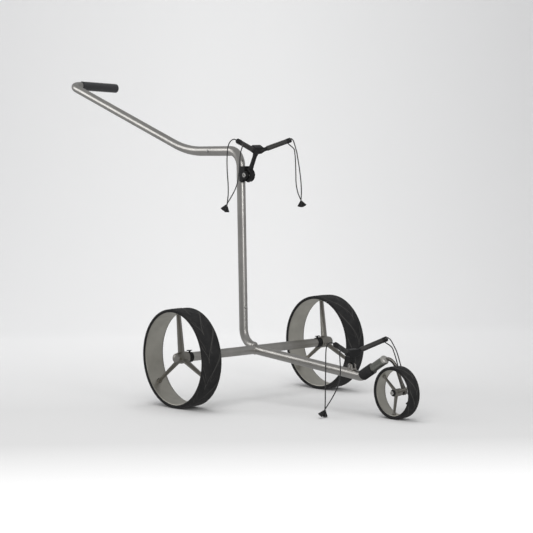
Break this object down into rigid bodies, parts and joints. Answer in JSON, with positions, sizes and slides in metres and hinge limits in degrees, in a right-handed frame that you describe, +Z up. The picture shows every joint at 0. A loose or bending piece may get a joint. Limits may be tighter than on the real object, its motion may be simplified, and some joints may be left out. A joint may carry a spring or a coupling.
{
  "type": "golf push cart",
  "caption": "Wheeled golf push cart with a bent tube frame, lift-off upright, plug-in handle, quick-release spoked wheels and two tilting bag cradles with elastic cords.",
  "frame": {"origin": "middle of the footprint on the floor, without the cords", "axes": "+Z up; the front wheel is towards -Y and the handle towards +Y; +X is the cart's left side, where the grip points"},
  "size_m": [0.6274, 1.6502, 0.9803],
  "materials": {
    "satin_steel": "satin bead-blasted",
    "satin_alloy": "satin bead-blasted",
    "spoke_alloy": "satin anodised",
    "rim_alloy": "satin, warm silver",
    "tyre_rubber": "matte black with moulded grooves",
    "bright_steel": "polished",
    "black_plastic": "fine moulded texture",
    "arm_plastic": "dark grey, fine moulded texture",
    "ribbed_steel": "finely ribbed, satin",
    "sleeve_rubber": "matte black",
    "grip_foam": "finely textured foam",
    "elastic_cord": "braided sheath"
  },
  "bodies": {
    "frame": {"axle_tube": "satin_steel", "main_tube": "satin_steel", "upright_socket": "satin_steel", "left_axle_socket": "bright_steel", "right_axle_socket": "bright_steel", "left_collar": "black_plastic", "right_collar": "black_plastic", "front_sleeve": "sleeve_rubber", "cradle_lug": "satin_steel", "lug_bolt": "bright_steel"},
    "left_tab": {"left_release_tab": "black_plastic"},
    "left_axle": {"left_axle_pin": "bright_steel"},
    "left_wheel": {"left_tyre": "tyre_rubber", "left_rim": "rim_alloy", "left_spider": "spoke_alloy", "left_hub_cap": "bright_steel", "left_bearings": "bright_steel"},
    "right_tab": {"right_release_tab": "black_plastic"},
    "right_axle": {"right_axle_pin": "bright_steel"},
    "right_wheel": {"right_tyre": "tyre_rubber", "right_rim": "rim_alloy", "right_spider": "spoke_alloy", "right_hub_cap": "bright_steel", "right_bearings": "bright_steel"},
    "fork": {"fork_tube": "ribbed_steel", "fork_cap": "satin_steel", "fork_arm": "satin_steel", "front_axle_bolt": "bright_steel", "front_axle_nut": "bright_steel"},
    "front_wheel": {"front_tyre": "tyre_rubber", "front_rim": "rim_alloy", "front_spider": "spoke_alloy", "front_bearings": "black_plastic"},
    "upright": {"upright_tube": "satin_alloy", "cradle_bracket": "black_plastic", "cradle_pivot_bolt": "bright_steel"},
    "upright_snap": {"upright_button": "bright_steel"},
    "handle": {"handle_tube": "satin_alloy", "grip": "grip_foam"},
    "handle_snap": {"handle_button": "bright_steel"},
    "upper_cradle": {"upper_strut": "black_plastic", "upper_yoke": "black_plastic", "upper_left_arm": "arm_plastic", "upper_right_arm": "arm_plastic", "upper_left_cord": "elastic_cord", "upper_left_rear_toggle": "black_plastic", "upper_left_front_toggle": "black_plastic", "upper_right_cord": "elastic_cord", "upper_right_rear_toggle": "black_plastic", "upper_right_front_toggle": "black_plastic"},
    "lower_cradle": {"lower_strut": "black_plastic", "lower_yoke": "black_plastic", "lower_left_arm": "arm_plastic", "lower_right_arm": "arm_plastic", "lower_left_cord": "elastic_cord", "lower_left_rear_toggle": "black_plastic", "lower_left_front_toggle": "black_plastic", "lower_right_cord": "elastic_cord", "lower_right_rear_toggle": "black_plastic", "lower_right_front_toggle": "black_plastic"}
  },
  "joints": [
    {"name": "left_tab_press", "type": "slide", "parent": "frame", "child": "left_tab", "axis": [0, 0, -1], "range_m": [0, 0.0024], "stiffness_N_per_m": 800, "springref_m": -0.002},
    {"name": "left_axle_pull", "type": "slide", "parent": "frame", "child": "left_axle", "axis": [1, 0, 0], "range_m": [0, 0.1]},
    {"name": "left_wheel_spin", "type": "hinge", "parent": "left_axle", "child": "left_wheel", "pos_m": [0.2797, -0.14558, 0.145], "axis": [1, 0, 0], "continuous": true},
    {"name": "right_tab_press", "type": "slide", "parent": "frame", "child": "right_tab", "axis": [0, 0, -1], "range_m": [0, 0.0024], "stiffness_N_per_m": 800, "springref_m": -0.002},
    {"name": "right_axle_pull", "type": "slide", "parent": "frame", "child": "right_axle", "axis": [-1, 0, 0], "range_m": [0, 0.1]},
    {"name": "right_wheel_spin", "type": "hinge", "parent": "right_axle", "child": "right_wheel", "pos_m": [-0.2797, -0.14558, 0.145], "axis": [1, 0, 0], "continuous": true},
    {"name": "fork_pull", "type": "slide", "parent": "frame", "child": "fork", "axis": [0, -0.8686, 0.4955], "range_m": [0, 0.04]},
    {"name": "front_wheel_spin", "type": "hinge", "parent": "fork", "child": "front_wheel", "pos_m": [0, -0.75228, 0.073], "axis": [1, 0, 0], "continuous": true},
    {"name": "upright_lift", "type": "slide", "parent": "frame", "child": "upright", "axis": [0, 0, 1], "range_m": [0, 0.06]},
    {"name": "upright_button_press", "type": "slide", "parent": "upright", "child": "upright_snap", "axis": [0, 1, 0], "range_m": [0, 0.0024], "stiffness_N_per_m": 800, "springref_m": -0.002},
    {"name": "handle_pull", "type": "slide", "parent": "upright", "child": "handle", "axis": [0, 1, 0], "range_m": [0, 0.06]},
    {"name": "handle_button_press", "type": "slide", "parent": "handle", "child": "handle_snap", "axis": [1, 0, 0], "range_m": [0, 0.0024], "stiffness_N_per_m": 800, "springref_m": -0.002},
    {"name": "upper_cradle_tilt", "type": "hinge", "parent": "upright", "child": "upper_cradle", "pos_m": [0, -0.12857, 0.67], "axis": [1, 0, 0], "range_deg": [-10, 95]},
    {"name": "lower_cradle_fold", "type": "hinge", "parent": "frame", "child": "lower_cradle", "pos_m": [0, -0.57158, 0.132], "axis": [1, 0, 0], "range_deg": [-60, 0]}
  ]
}
